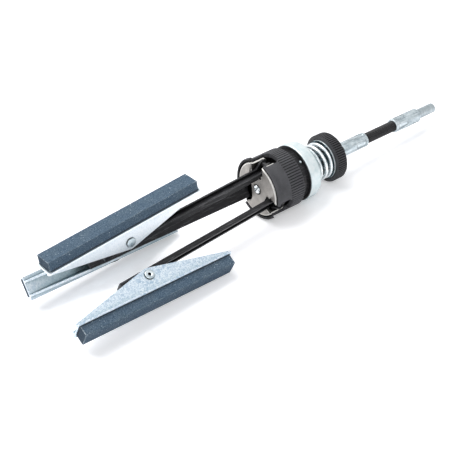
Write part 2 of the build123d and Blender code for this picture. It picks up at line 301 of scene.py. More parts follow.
# Material helpers
class Finish:
    """A Principled material being built, with short calls for the nodes that it uses."""

    def __init__(self, name, colour, metallic, roughness, specular=0.5):
        self.material = bpy.data.materials.new(name)
        self.material.use_nodes = True
        self.tree = self.material.node_tree
        self.shader = self.tree.nodes["Principled BSDF"]
        self.shader.inputs["Base Color"].default_value = (*colour, 1)
        self.shader.inputs["Metallic"].default_value = metallic
        self.shader.inputs["Roughness"].default_value = roughness
        self.shader.inputs["Specular IOR Level"].default_value = specular
        self.place = self.node("ShaderNodeTexCoord").outputs["Object"]

    def node(self, kind):
        return self.tree.nodes.new(kind)

    def link(self, source, target):
        self.tree.links.new(source, target)

    def scaled(self, stretch):
        """The object's own coordinates, multiplied along each axis."""
        mapping = self.node("ShaderNodeMapping")
        mapping.inputs["Scale"].default_value = stretch
        self.link(self.place, mapping.inputs["Vector"])
        return mapping.outputs["Vector"]

    def noise(self, size, detail=2.0, rough=0.5, stretch=(1, 1, 1)):
        """Noise whose features are about size metres across."""
        texture = self.node("ShaderNodeTexNoise")
        texture.inputs["Scale"].default_value = 1 / size
        texture.inputs["Detail"].default_value = detail
        texture.inputs["Roughness"].default_value = rough
        self.link(self.scaled(stretch), texture.inputs["Vector"])
        return texture.outputs["Fac"]

    def cells(self, size):
        """Random grey for each cell of a crystal pattern."""
        texture = self.node("ShaderNodeTexVoronoi")
        texture.inputs["Scale"].default_value = 1 / size
        self.link(self.scaled((1, 1, 1)), texture.inputs["Vector"])
        split = self.node("ShaderNodeSeparateColor")
        self.link(texture.outputs["Color"], split.inputs["Color"])
        return split.outputs["Red"]

    def ramp(self, source, stops):
        """Colours or greys along a value."""
        ramp = self.node("ShaderNodeValToRGB")
        elements = ramp.color_ramp.elements
        while len(elements) < len(stops):
            elements.new(0.5)
        for element, (place, colour) in zip(elements, stops):
            element.position = place
            element.color = (*colour, 1) if isinstance(colour, tuple) else (colour, colour, colour, 1)
        self.link(source, ramp.inputs["Fac"])
        return ramp.outputs["Color"]

    def rise(self, source, low, high, top):
        """0 where a value is below low, rising to top where it is above high."""
        return self.ramp(source, [(low, 0.0), (high, top)])

    def mix(self, share, a, b, kind="MIX"):
        """Two colours mixed; share is a number or a socket."""
        mix = self.node("ShaderNodeMix")
        mix.data_type = "RGBA"
        mix.blend_type = kind
        if isinstance(share, float):
            mix.inputs["Factor"].default_value = share
        else:
            self.link(share, mix.inputs["Factor"])
        for value, socket in ((a, mix.inputs[6]), (b, mix.inputs[7])):
            if isinstance(value, tuple):
                socket.default_value = (*value, 1)
            else:
                self.link(value, socket)
        return mix.outputs[2]

    def bump(self, height, strength, depth, under=None):
        """Surface relief of a depth in metres, over an earlier relief."""
        bump = self.node("ShaderNodeBump")
        bump.inputs["Strength"].default_value = strength
        bump.inputs["Distance"].default_value = depth
        self.link(height, bump.inputs["Height"])
        if under:
            self.link(under, bump.inputs["Normal"])
        return bump.outputs["Normal"]

    def edge_wear(self, width):
        """Where the surface bends within a width: near 0 on flats, up to 1 on corners."""
        bevel = self.node("ShaderNodeBevel")
        bevel.samples = 4
        bevel.inputs["Radius"].default_value = width
        geometry = self.node("ShaderNodeNewGeometry")
        dot = self.node("ShaderNodeVectorMath")
        dot.operation = "DOT_PRODUCT"
        self.link(bevel.outputs["Normal"], dot.inputs[0])
        self.link(geometry.outputs["Normal"], dot.inputs[1])
        invert = self.node("ShaderNodeMath")
        invert.operation = "SUBTRACT"
        invert.inputs[0].default_value = 1.0
        self.link(dot.outputs["Value"], invert.inputs[1])
        return invert.outputs["Value"]

    def gaps(self, reach, low, high):
        """Mask for painted shade: 1 in gaps and grooves of a reach, where less than low of the sky is open,
        to 0 above high.
        """
        occlusion = self.node("ShaderNodeAmbientOcclusion")
        occlusion.samples = 8
        occlusion.inputs["Distance"].default_value = reach
        return self.ramp(occlusion.outputs["AO"], [(low, 1.0), (high, 0.0)])

    def colour(self, source):
        self.link(source, self.shader.inputs["Base Color"])

    def roughness(self, source):
        self.link(source, self.shader.inputs["Roughness"])

    def normal(self, source):
        self.link(source, self.shader.inputs["Normal"])


def abrasive(name):
    """Vitrified grit: slate blue with fine dark pores, small pale crystals and chipped, paler edges, and
    painted shade on its end faces.
    """
    finish = Finish(name, (0.07, 0.10, 0.135), 0.0, 0.9, 0.15)
    broad = finish.noise(12 * MM, 3.0, 0.6)
    grain = finish.noise(0.7 * MM, 5.0, 0.85)
    fine = finish.noise(0.3 * MM, 3.0, 0.7)
    slate = [(0.36, (0.034, 0.056, 0.086)), (0.5, (0.084, 0.126, 0.172)), (0.66, (0.170, 0.232, 0.295))]
    body = finish.ramp(grain, slate)
    tint = finish.ramp(broad, [(0.35, (0.86, 0.90, 0.94)), (0.65, (1.06, 1.03, 1.0))])
    body = finish.mix(1.0, body, tint, "MULTIPLY")
    speck = finish.rise(finish.cells(0.4 * MM), 0.990, 0.997, 1.0)
    body = finish.mix(speck, body, (0.36, 0.44, 0.50))
    pore = finish.ramp(fine, [(0.32, 1.0), (0.40, 0.0)])
    body = finish.mix(pore, body, (0.022, 0.034, 0.052))
    chips = finish.ramp(finish.noise(1.6 * MM, 3.0, 0.7), [(0.45, 0.1), (0.60, 1.0)])
    wear_and_end_shade = finish.node("ShaderNodeAttribute")
    wear_and_end_shade.attribute_name = "wear_and_end_shade"
    split = finish.node("ShaderNodeSeparateColor")
    finish.link(wear_and_end_shade.outputs["Color"], split.inputs["Color"])
    # Painted shade: the end faces are darkened.
    body = finish.mix(split.outputs["Green"], body, finish.mix(0.5, body, (0.02, 0.03, 0.045)))
    edge = finish.rise(split.outputs["Red"], 0.30, 0.80, 0.9)
    chipped = finish.mix(chips, (0.0, 0.0, 0.0), edge)
    finish.colour(finish.mix(chipped, body, (0.42, 0.49, 0.53)))
    finish.roughness(finish.ramp(grain, [(0.3, 0.95), (0.75, 0.80)]))
    relief = finish.bump(grain, 0.5, 0.12 * MM)
    finish.normal(finish.bump(fine, 0.5, 0.06 * MM, relief))
    return finish.material


def zinc_sheet(name, spangle):
    """Zinc-plated pressed sheet: pale, with blue-grey spangle, and painted teal shade in its folds and
    shaded corners and painted dark shade in narrow gaps.
    """
    finish = Finish(name, (0.80, 0.86, 0.88), 0.9, 0.36)
    fleck = finish.cells(1.1 * MM)
    fine = finish.noise(0.8 * MM, 4.0, 0.8)
    broad = finish.noise(10 * MM, 3.0, 0.6)
    rolled = finish.noise(0.5 * MM, 2.0, 0.5, (0.03, 1, 1))
    even = [(0.32, (0.80, 0.85, 0.88)), (0.5, (0.92, 0.94, 0.955)), (0.75, (0.97, 0.975, 0.98))]
    uneven = [(0.36, (0.30, 0.42, 0.55)), (0.5, (0.66, 0.76, 0.85)), (0.64, (0.90, 0.94, 0.96))]
    pale = finish.ramp(fine, even)
    mottled = finish.ramp(fine, uneven)
    patch = finish.ramp(broad, [(0.40, 0.3), (0.58, 0.9)])
    spots = finish.rise(fleck, 0.45, 0.95, 1.0)
    crystal = finish.mix(finish.mix(patch, (0.0, 0.0, 0.0), spots), mottled, (0.30, 0.44, 0.58))
    body = finish.mix(spangle, pale, crystal)
    # Painted teal shade in folds and shaded corners.
    shade = finish.gaps(9 * MM, 0.35, 0.95)
    body = finish.mix(shade, body, finish.mix(fine, (0.16, 0.27, 0.32), (0.42, 0.56, 0.60)))
    # Painted dark shade in narrow gaps, such as round the rivet heads.
    gap = finish.gaps(0.8 * MM, 0.55, 0.85)
    finish.colour(finish.mix(gap, body, (0.03, 0.045, 0.055)))
    rough = finish.ramp(fleck, [(0.0, 0.28), (1.0, 0.46)])
    finish.roughness(finish.mix(0.5, rough, finish.ramp(fine, [(0.3, 0.30), (0.8, 0.5)])))
    relief = finish.bump(fine, 0.25, 0.06 * MM)
    finish.normal(finish.bump(rolled, 0.15, 0.05 * MM, relief))
    return finish.material


def satin_zinc(name, reach, tone):
    """Thick satin zinc plating: nearly white, faintly clouded, with turning rings and grey rubs, and painted
    teal shade in its hollows.
    """
    finish = Finish(name, (0.88, 0.91, 0.92), 0.55, 0.42)
    rings = finish.noise(0.5 * MM, 2.0, 0.5, (1, 0.05, 0.05))
    cloud = finish.noise(4 * MM, 4.0, 0.65)
    fine = finish.noise(0.5 * MM, 3.0, 0.7)
    dull = (0.76 * tone ** 1.5, 0.82 * tone, 0.84 * tone)
    bright = (0.95 * tone ** 1.3, 0.96 * tone, 0.965 * tone)
    body = finish.ramp(cloud, [(0.35, dull), (0.65, bright)])
    rub = (0.60 * tone, 0.68 * tone, 0.70 * tone)
    body = finish.mix(finish.rise(fine, 0.52, 0.8, 0.45), body, rub)
    # Painted teal shade in hollows within the reach.
    shade = finish.gaps(reach, 0.30, 0.90)
    finish.colour(finish.mix(shade, body, (0.12, 0.22, 0.26)))
    finish.roughness(finish.ramp(fine, [(0.3, 0.36), (0.75, 0.5)]))
    relief = finish.bump(rings, 0.2, 0.05 * MM)
    finish.normal(finish.bump(fine, 0.2, 0.05 * MM, relief))
    return finish.material


def zinc_bar(name, lines, contrast, gap, tone):
    """Zinc-plated bar: tool or draw lines, cloudy plating and rubs, with painted dark shade on the walls of
    its dents and where it meets other pieces.
    """
    finish = Finish(name, (0.66, 0.72, 0.74), 1.0, 0.30)
    grain = finish.noise(1.1 * MM, 3.0, 0.6, lines)
    cloud = finish.noise(4 * MM, 3.0, 0.6)
    fine = finish.noise(0.9 * MM, 3.0, 0.7)
    dull = (0.44 * tone, 0.51 * tone, 0.54 * tone)
    bright = (0.72 * tone, 0.78 * tone, 0.80 * tone)
    body = finish.ramp(cloud, [(0.35, dull), (0.65, bright)])
    body = finish.mix(finish.rise(grain, 0.45, 0.62, contrast), body, (0.26, 0.30, 0.32))
    body = finish.mix(finish.rise(fine, 0.45, 0.70, 0.5), body, (0.36, 0.44, 0.49))
    crimp = finish.node("ShaderNodeAttribute")
    crimp.attribute_name = "crimp"
    # Painted shade on the walls of the pressed dents.
    walls = finish.rise(crimp.outputs["Fac"], 0.2, 0.9, 0.75)
    body = finish.mix(walls, body, (0.13, 0.15, 0.155))
    # Painted dark shade where the bar meets other pieces.
    shade = finish.gaps(gap, 0.45, 0.85)
    finish.colour(finish.mix(shade, body, (0.05, 0.065, 0.075)))
    finish.roughness(finish.ramp(cloud, [(0.3, 0.24), (0.7, 0.42)]))
    relief = finish.bump(grain, 0.25, 0.05 * MM)
    finish.normal(finish.bump(fine, 0.15, 0.05 * MM, relief))
    return finish.material


def dark_steel_painted_shade(name):
    """Steel of the spindle, painted dark as shade, and darker still in its grooves so that the crests of its
    thread stand brighter.
    """
    finish = Finish(name, (0.10, 0.14, 0.16), 0.45, 0.30)
    cloud = finish.noise(3 * MM, 3.0, 0.6)
    fine = finish.noise(0.5 * MM, 3.0, 0.6)
    # Painted shade: the whole surface is near black, clouded with paler teal.
    body = finish.ramp(cloud, [(0.40, (0.008, 0.014, 0.018)), (0.70, (0.16, 0.27, 0.32))])
    # Painted shade, deeper in the thread's grooves.
    shade = finish.gaps(6 * MM, 0.1, 0.5)
    finish.colour(finish.mix(shade, body, (0.004, 0.006, 0.007)))
    finish.roughness(finish.ramp(fine, [(0.3, 0.25), (0.75, 0.45)]))
    finish.normal(finish.bump(fine, 0.2, 0.05 * MM))
    return finish.material


def spring_steel(name):
    """Bright plated wire with draw lines and a few dull patches, and painted teal shade where other pieces
    hem it in.
    """
    finish = Finish(name, (0.84, 0.88, 0.90), 0.75, 0.30)
    cloud = finish.noise(3 * MM, 3.0, 0.6)
    fine = finish.noise(0.4 * MM, 3.0, 0.6)
    body = finish.ramp(cloud, [(0.3, (0.80, 0.87, 0.90)), (0.7, (0.96, 0.97, 0.98))])
    # Painted teal shade where the wire is hemmed in.
    shade = finish.gaps(4 * MM, 0.30, 0.85)
    finish.colour(finish.mix(shade, body, (0.03, 0.08, 0.10)))
    finish.roughness(finish.ramp(cloud, [(0.3, 0.18), (0.75, 0.32)]))
    finish.normal(finish.bump(fine, 0.12, 0.04 * MM))
    return finish.material


def black_oxide(name):
    """Black pressed steel, satin, with brushed scuffs and grey rubbed corners, and painted black shade in
    its recesses.
    """
    finish = Finish(name, (0.012, 0.012, 0.014), 0.0, 0.36, 0.28)
    cloud = finish.noise(7 * MM, 4.0, 0.6)
    scuff = finish.noise(0.8 * MM, 3.0, 0.6, (0.06, 1, 1))
    body = finish.ramp(cloud, [(0.3, (0.008, 0.008, 0.009)), (0.7, (0.020, 0.020, 0.023))])
    body = finish.mix(finish.rise(scuff, 0.54, 0.66, 0.6), body, (0.11, 0.11, 0.115))
    edge = finish.rise(finish.edge_wear(0.5 * MM), 0.04, 0.35, 0.75)
    body = finish.mix(edge, body, (0.17, 0.17, 0.185))
    # Painted black shade in recesses.
    shade = finish.gaps(5 * MM, 0.25, 0.8)
    finish.colour(finish.mix(shade, body, (0.004, 0.004, 0.004)))
    finish.roughness(finish.ramp(cloud, [(0.3, 0.28), (0.75, 0.46)]))
    finish.normal(finish.bump(scuff, 0.12, 0.05 * MM))
    return finish.material


def plate_steel(name, tone):
    """Bare grey pressed steel, warm and dull, with a fine peppering and painted shade in its recesses and
    narrow gaps.
    """
    finish = Finish(name, (0.36 * tone, 0.34 * tone, 0.32 * tone), 0.7, 0.46)
    cloud = finish.noise(5 * MM, 4.0, 0.65)
    fine = finish.noise(0.4 * MM, 4.0, 0.75)

    def warm(level):
        return (level * tone, 0.945 * level * tone, 0.885 * level * tone)

    body = finish.ramp(cloud, [(0.3, warm(0.27)), (0.7, warm(0.45))])
    body = finish.mix(finish.rise(fine, 0.45, 0.75, 0.6), body, warm(0.62))
    # Painted shade in recesses.
    shade = finish.gaps(8 * MM, 0.3, 0.7)
    body = finish.mix(shade, body, (0.02, 0.018, 0.016))
    # Painted dark shade in narrow gaps, such as round the screw and along the arms.
    gap = finish.gaps(1.5 * MM, 0.6, 0.95)
    finish.colour(finish.mix(gap, body, (0.01, 0.01, 0.01)))
    finish.roughness(finish.ramp(fine, [(0.3, 0.40), (0.75, 0.58)]))
    finish.normal(finish.bump(fine, 0.25, 0.06 * MM))
    return finish.material


def sheared_steel_and_highlight(name):
    """Bright sheared edge of the plate, with fine lines across the sheet; bare steel, made paler as a
    painted highlight along the edges.
    """
    finish = Finish(name, (0.80, 0.79, 0.75), 0.3, 0.34)
    lines = finish.noise(0.3 * MM, 3.0, 0.6, (0.1, 1, 1))
    cloud = finish.noise(3 * MM, 3.0, 0.6)
    body = finish.ramp(lines, [(0.3, (0.66, 0.64, 0.60)), (0.7, (0.92, 0.91, 0.88))])
    finish.colour(finish.mix(finish.rise(cloud, 0.5, 0.8, 0.4), body, (0.50, 0.48, 0.45)))
    finish.roughness(finish.ramp(cloud, [(0.3, 0.28), (0.75, 0.45)]))
    finish.normal(finish.bump(lines, 0.2, 0.05 * MM))
    return finish.material


def nylon(name, tone, groove):
    """Moulded nylon: matte, faintly pebbled, with painted black shade in grooves of a size, and paler on its
    rubbed ribs.
    """
    finish = Finish(name, (0.06 * tone, 0.06 * tone, 0.065 * tone), 0.0, 0.6, 0.22)
    pebble = finish.noise(0.45 * MM, 3.0, 0.65)
    cloud = finish.noise(8 * MM, 3.0, 0.6)

    def grey(level):
        return (level * tone, level * tone, 1.08 * level * tone)

    body = finish.ramp(cloud, [(0.3, grey(0.054)), (0.7, grey(0.082))])
    body = finish.mix(finish.rise(pebble, 0.5, 0.8, 0.5), body, grey(0.13))
    edge = finish.rise(finish.edge_wear(0.25 * MM), 0.03, 0.4, 0.5)
    body = finish.mix(edge, body, grey(0.16))
    # Painted black shade in grooves.
    shade = finish.gaps(groove, 0.60, 0.95)
    finish.colour(finish.mix(shade, body, (0.002, 0.002, 0.002)))
    finish.roughness(finish.ramp(pebble, [(0.3, 0.50), (0.75, 0.70)]))
    finish.normal(finish.bump(pebble, 0.35, 0.08 * MM))
    return finish.material


def cable_wire(name):
    """Blackened wire, oily in its grooves and rubbed grey on its crowns."""
    finish = Finish(name, (0.03, 0.03, 0.033), 0.55, 0.40, 0.6)
    cloud = finish.noise(2 * MM, 4.0, 0.7)
    fine = finish.noise(0.4 * MM, 3.0, 0.6)
    body = finish.ramp(cloud, [(0.35, (0.006, 0.006, 0.007)), (0.7, (0.025, 0.025, 0.027))])
    finish.colour(finish.mix(finish.rise(fine, 0.62, 0.8, 0.5), body, (0.22, 0.22, 0.23)))
    finish.roughness(finish.ramp(cloud, [(0.3, 0.30), (0.75, 0.55)]))
    finish.normal(finish.bump(fine, 0.25, 0.08 * MM))
    return finish.material


def dark_bead(name):
    """Thin dark bead along the foot of a stone."""
    finish = Finish(name, (0.02, 0.025, 0.035), 0.0, 0.6, 0.4)
    lumps = finish.noise(0.7 * MM, 3.0, 0.6)
    finish.colour(finish.ramp(lumps, [(0.35, (0.012, 0.016, 0.024)), (0.75, (0.05, 0.06, 0.075))]))
    finish.roughness(finish.ramp(lumps, [(0.3, 0.45), (0.8, 0.75)]))
    finish.normal(finish.bump(lumps, 0.5, 0.15 * MM))
    return finish.material


# Each material's builder and the values that it takes
recipes = {
    "abrasive": (abrasive,),
    "holder_zinc_1": (zinc_sheet, 0.2),
    "holder_zinc_2": (zinc_sheet, 0.9),
    "holder_zinc_3": (zinc_sheet, 0.6),
    "satin_zinc": (satin_zinc, 8 * MM, 0.86),
    "washer_zinc": (satin_zinc, 0.8 * MM, 1.0),
    # A darker copy of the cup's zinc, which paints shade on its shoulder.
    "painted_shade_zinc": (satin_zinc, 8 * MM, 0.62),
    "zinc_turned": (zinc_bar, (1, 0.02, 0.02), 0.3, 1.2 * MM, 1.0),
    "shank_zinc": (zinc_bar, (1, 0.02, 0.02), 0.5, 1.2 * MM, 0.72),
    "zinc_drawn": (zinc_bar, (0.08, 1, 1), 0.7, 2.0 * MM, 1.0),
    "zinc_rivet": (zinc_bar, (1, 1, 1), 0.0, 2.5 * MM, 1.0),
    "dark_steel_painted_shade": (dark_steel_painted_shade,),
    "sheared_steel_and_highlight": (sheared_steel_and_highlight,),
    "spring_steel": (spring_steel,),
    "black_oxide": (black_oxide,),
    "plate_steel": (plate_steel, 1.0),
    # A dark copy of the plate steel, which paints shade.
    "painted_shade_steel": (plate_steel, 0.12),
    "black_nylon": (nylon, 1.05, 1.2 * MM),
    # A dark copy of the nylon, which paints shade.
    "painted_shade_nylon": (nylon, 0.12, 1.2 * MM),
    "knurled_nylon": (nylon, 0.70, 1.0 * MM),
    "cable_wire": (cable_wire,),
    "dark_bead": (dark_bead,),
}
materials = {name: build(name, *values) for name, (build, *values) in recipes.items()}


# Camera, floor and light
def direction(azimuth, elevation):
    """Unit vector from the tool towards a viewer at that azimuth and elevation."""
    turn = math.radians(azimuth)
    lift = math.radians(elevation)
    return Vector((math.sin(turn) * math.cos(lift), -math.cos(turn) * math.cos(lift), math.sin(lift)))


def add_camera():
    """The photograph's viewpoint."""
    data = bpy.data.cameras.new("Camera")
    camera = new_object("Camera", data)
    facing = (-direction(camera_azimuth, camera_elevation)).to_track_quat("-Z", "Y")
    roll = Matrix.Rotation(math.radians(camera_roll), 4, "Z")
    camera.matrix_world = Matrix.Translation(camera_place) @ facing.to_matrix().to_4x4() @ roll
    data.lens = camera_lens
    data.clip_end = 20
    bpy.context.scene.camera = camera


def seen(tree):
    """1 for rays from the camera or off a glossy surface, 0 for others."""
    path = tree.nodes.new("ShaderNodeLightPath")
    either = tree.nodes.new("ShaderNodeMath")
    either.operation = "MAXIMUM"
    tree.links.new(path.outputs["Is Camera Ray"], either.inputs[0])
    tree.links.new(path.outputs["Is Glossy Ray"], either.inputs[1])
    return either.outputs["Value"]


def floor_material():
    """White paper that keeps soft grey shadows and goes to plain white away from them."""
    finish = Finish("floor_paper", (0.93, 0.93, 0.95), 0.0, 0.9, 0.1)
    fibre = finish.noise(1.5 * MM, 3.0, 0.6)
    finish.colour(finish.ramp(fibre, [(0.3, (0.90, 0.90, 0.925)), (0.7, (0.915, 0.915, 0.935))]))
    glow = finish.node("ShaderNodeEmission")
    strength = finish.node("ShaderNodeMath")
    strength.operation = "MULTIPLY"
    strength.inputs[1].default_value = floor_glow
    finish.link(seen(finish.tree), strength.inputs[0])
    finish.link(strength.outputs["Value"], glow.inputs["Strength"])
    both = finish.node("ShaderNodeAddShader")
    output = finish.tree.nodes["Material Output"]
    finish.link(finish.shader.outputs["BSDF"], both.inputs[0])
    finish.link(glow.outputs["Emission"], both.inputs[1])
    finish.link(both.outputs["Shader"], output.inputs["Surface"])
    return finish.material


def add_floor():
    """A plane under the tool's lowest points, tilted as the tool leans."""
    lowest = min(
        vertex.co.z - floor_slope * vertex.co.x
        for node in frame["nodes"].values()
        for vertex in node.data.vertices
    )
    half = floor_size / 2
    square = ((-half, -half), (half, -half), (half, half), (-half, half))
    corners = [(x, y, floor_slope * x + lowest) for x, y in square]
    mesh = bpy.data.meshes.new("Floor")
    mesh.from_pydata(corners, [], [(0, 1, 2, 3)])
    mesh.materials.append(floor_material())
    new_object("Floor", mesh)


def add_world():
    """An even pale studio, white where the camera or a reflection sees it."""
    world = bpy.data.worlds.new("Studio")
    bpy.context.scene.world = world
    world.use_nodes = True
    tree = world.node_tree
    background = tree.nodes["Background"]
    background.inputs["Color"].default_value = (*world_colour, 1)
    strength = tree.nodes.new("ShaderNodeMapRange")
    strength.inputs["To Min"].default_value = world_light
    strength.inputs["To Max"].default_value = world_seen
    tree.links.new(seen(tree), strength.inputs["Value"])
    tree.links.new(strength.outputs["Result"], background.inputs["Strength"])


def add_lamp(name, place, size, power):
    """A square soft box that faces the tool."""
    data = bpy.data.lights.new(name, "AREA")
    data.shape = "SQUARE"
    data.size = size
    data.energy = power
    lamp = new_object(name, data)
    lamp.location = place
    lamp.rotation_euler = (Vector(lamp_target) - Vector(place)).to_track_quat("-Z", "Y").to_euler()


add_camera()
add_floor()
add_world()
for lamp_name, (lamp_place, lamp_size, lamp_power) in lamps.items():
    add_lamp(lamp_name, lamp_place, lamp_size, lamp_power)
bpy.context.scene.view_settings.view_transform = "Standard"


# Places of the hinged pieces
def joint(name):
    """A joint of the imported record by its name."""
    return next(item for item in frame["joints"] if item["name"] == name)


def hinged_place(origin, along, across):
    """Matrix from a piece's own axes (along the tool, across it, outward) to the row frame."""
    outward = along.cross(across)
    place = Matrix((along, across, outward)).transposed().to_4x4()
    place.translation = origin
    return place


def arm_place(number):
    """Axes of an arm, from its pivot, with its rivet straight ahead."""
    pivot = Vector(joint(f"arm{number}_swing")["pos_m"])
    rivet = Vector(joint(f"stone{number}_tilt")["pos_m"])
    across = Vector(joint(f"arm{number}_swing")["axis"])
    return hinged_place(pivot, (pivot - rivet).normalized(), across)


def end_centres(node):
    """Centres of the front and rear ends of a long box, from its corners."""
    corners = {tuple(round(c, 6) for c in vertex.co) for vertex in frame["nodes"][node].data.vertices}
    ordered = sorted(corners)
    half = len(ordered) // 2
    front = sum((Vector(c) for c in ordered[:half]), Vector()) / half
    rear = sum((Vector(c) for c in ordered[-half:]), Vector()) / half
    return front, rear


def shoe_place(number):
    """Axes of a stone holder, from its rivet, with the stone's length as the first axis."""
    front, rear = end_centres(f"stone_{number}")
    rivet = Vector(joint(f"stone{number}_tilt")["pos_m"])
    across = -Vector(joint(f"stone{number}_tilt")["axis"])
    return hinged_place(rivet, (rear - front).normalized(), across)


def own_box(node, place):
    """Lowest and highest corner of a node in its own axes."""
    inverse = place.inverted()
    points = [inverse @ vertex.co for vertex in frame["nodes"][node].data.vertices]
    low = Vector([min(p[axis] for p in points) for axis in range(3)])
    high = Vector([max(p[axis] for p in points) for axis in range(3)])
    return low, high


# Stones
def cell_stations(low, high, cell, fine):
    """Places of a grid's lines, closer together at the ends where the edges are worn."""
    count = max(2, round((high - low - 2 * fine[-1]) / cell))
    inner = [low + fine[-1] + (high - low - 2 * fine[-1]) * step / count for step in range(count + 1)]
    return [low + f for f in fine[:-1]] + inner + [high - f for f in reversed(fine[:-1])]


def box_grid(low, high, cell, fine):
    """Points and quads of a box divided by grid lines."""
    lines = [cell_stations(low[axis], high[axis], cell, fine) for axis in range(3)]
    points = []
    index = {}
    faces = []

    def corner(key):
        if key not in index:
            index[key] = len(points)
            points.append(Vector([lines[axis][key[axis]] for axis in range(3)]))
        return index[key]

    for axis in range(3):
        u, v = [other for other in range(3) if other != axis]
        for side in (0, len(lines[axis]) - 1):
            for i in range(len(lines[u]) - 1):
                for j in range(len(lines[v]) - 1):
                    quad = []
                    for di, dj in ((0, 0), (1, 0), (1, 1), (0, 1)):
                        key = [0, 0, 0]
                        key[axis], key[u], key[v] = side, i + di, j + dj
                        quad.append(corner(tuple(key)))
                    faces.append(tuple(quad))
    return points, faces


def worn(point, low, high, radius, keep_bottom):
    """A point of a box drawn in so that the box's edges have a radius."""
    inner = Vector([min(max(point[a], low[a] + radius), high[a] - radius) for a in range(3)])
    if keep_bottom:
        inner.z = min(max(point.z, low.z), high.z - radius)
    away = point - inner
    if away.length < 1e-9:
        return point
    return inner + away.normalized() * min(radius, away.length)


def add_stone(number):
    """A stone with rounded, crumbled edges and a grainy surface, and a thin dark bead along its foot."""
    place = shoe_place(number)
    low, high = own_box(f"stone_{number}", place)
    fine = [0.0, 0.2 * MM, 0.45 * MM, 0.8 * MM]
    points, faces = box_grid(low, high, stone_cell, fine)
    shaped = []
    for point in points:
        seed = point / (4 * MM) + Vector((17 * number, 0, 0))
        crumble = max(0.0, noise.noise(seed * 2.3)) * stone_wear
        crumble += abs(noise.noise(seed * 5.1)) * 0.5 * stone_wear
        shaped.append(worn(point, low, high, stone_round + crumble, True))
    mesh = mesh_of(f"stone_{number}_grit", [place @ p for p in shaped], faces, 60)
    wear_and_end_shade = mesh.attributes.new("wear_and_end_shade", "FLOAT_COLOR", "POINT")
    for index, point in enumerate(points):
        depths = sorted(min(point[a] - low[a], high[a] - point[a]) for a in range(3))
        from_end = min(point.x - low.x, high.x - point.x)
        # 1 on the end faces, where the abrasive material paints shade
        end = 1.0 if from_end < 1e-6 else 0.0
        share = 1.0 if from_end < stone_wear_width else long_edge_wear
        wear_and_end_shade.data[index].color = (share * max(0.0, 1 - depths[1] / stone_wear_width), end, 0, 1)
    shoe = f"shoe_{number}"
    add_piece(f"stone_{number}_grit", mesh, "abrasive", shoe, (f"stone_{number}",))
    bead_low = Vector((low.x - bead_proud, low.y - bead_proud, low.z))
    bead_high = Vector((high.x + bead_proud, high.y + bead_proud, low.z + bead_height))
    points, faces = box_grid(bead_low, bead_high, 2 * stone_cell, [0.0, 0.12 * MM])
    shaped = []
    for point in points:
        swell = 0.5 * bead_proud * noise.noise(point / (2.5 * MM) + Vector((0, 31 * number, 0)))
        outward = Vector((0, math.copysign(swell, point.y), 0))
        shaped.append(worn(point, bead_low, bead_high, 0.12 * MM, True) + outward)
    mesh = mesh_of(f"stone_{number}_bond", [place @ p for p in shaped], faces, 60)
    add_piece(f"stone_{number}_bond", mesh, "dark_bead", shoe, ())


def add_holder(number):
    """A folded holder with rounded sheet edges."""
    zinc = f"holder_zinc_{number}"
    add_finished(f"holder_{number}", zinc, f"shoe_{number}", 0.28 * MM)


# Arms and rivets
def add_arm(number):
    """A folded channel: its two long folds are rounder than its cut edges."""
    place = arm_place(number)
    inverse = place.inverted()
    low, high = own_box(f"arm_{number}", place)

    def fold(edge):
        ends = [inverse @ vertex.co for vertex in edge.verts]
        lengthwise = abs(ends[0].x - ends[1].x) > 5 * MM
        folded = all(abs(abs(end.y) - high.y) < 0.05 * MM for end in ends)
        under = all(end.z < fold_below for end in ends)
        return lengthwise and folded and under

    name = f"arm_{number}"
    add_finished(name, "black_oxide", name, 0.3 * MM, 3, fold, fold_round)


def head_profile(start, way, radius, height, hollow):
    """Outline of a set rivet head, from the sheet to its middle; one with a hollow end has a deep dimple."""
    outside = [
        (start, radius * 0.80),
        (start + way * 0.22 * height, radius * 0.80),
        (start + way * 0.30 * height, radius * 0.97),
        (start + way * 0.45 * height, radius),
        (start + way * 0.75 * height, radius * 0.97),
        (start + way * 0.95 * height, radius * 0.86),
        (start + way * height, radius * 0.74),
    ]
    if not hollow:
        return outside + [(start + way * 1.05 * height, point_radius)]
    return outside + [
        (start + way * height, hollow * 1.12),
        (start + way * 0.85 * height, hollow),
        (start - way * 0.8 * height, hollow * 0.9),
        (start - way * 0.8 * height, point_radius),
    ]


def add_rivet(number):
    """A rivet through holder and arm: a nearly flat head on one side, a rolled hollow end on the other."""
    place = shoe_place(number)
    low, high = own_box(f"holder_rivet_{number}", place)
    across = Matrix.Rotation(math.radians(90), 4, "Z")
    radius = 0.5 * (high.x - low.x)
    height = high.y - rivet_ear
    profile = [
        *reversed(head_profile(-rivet_ear, -1, radius, height, 0)),
        (-rivet_ear, rivet_shank),
        (rivet_ear, rivet_shank),
        *head_profile(rivet_ear, 1, radius, height, rivet_hollow),
    ]
    mesh = lathe(f"rivet_{number}_set", profile, 64, closed=False, sharp=50)
    walls = {
        face.index
        for face in mesh.polygons
        if rivet_ear < abs(face.center.x) < rivet_ear + 0.62 * height and abs(face.normal.x) < 0.8
    }
    mesh.transform(place @ across)
    node = f"holder_rivet_{number}"
    add_piece(f"rivet_{number}_set", mesh, "zinc_rivet", f"arm_{number}", (node,))
    # Painted shade: the head's wall next to the sheet is drawn in the dark shade steel.
    paint(mesh, "painted_shade_steel", lambda face: face.index in walls)


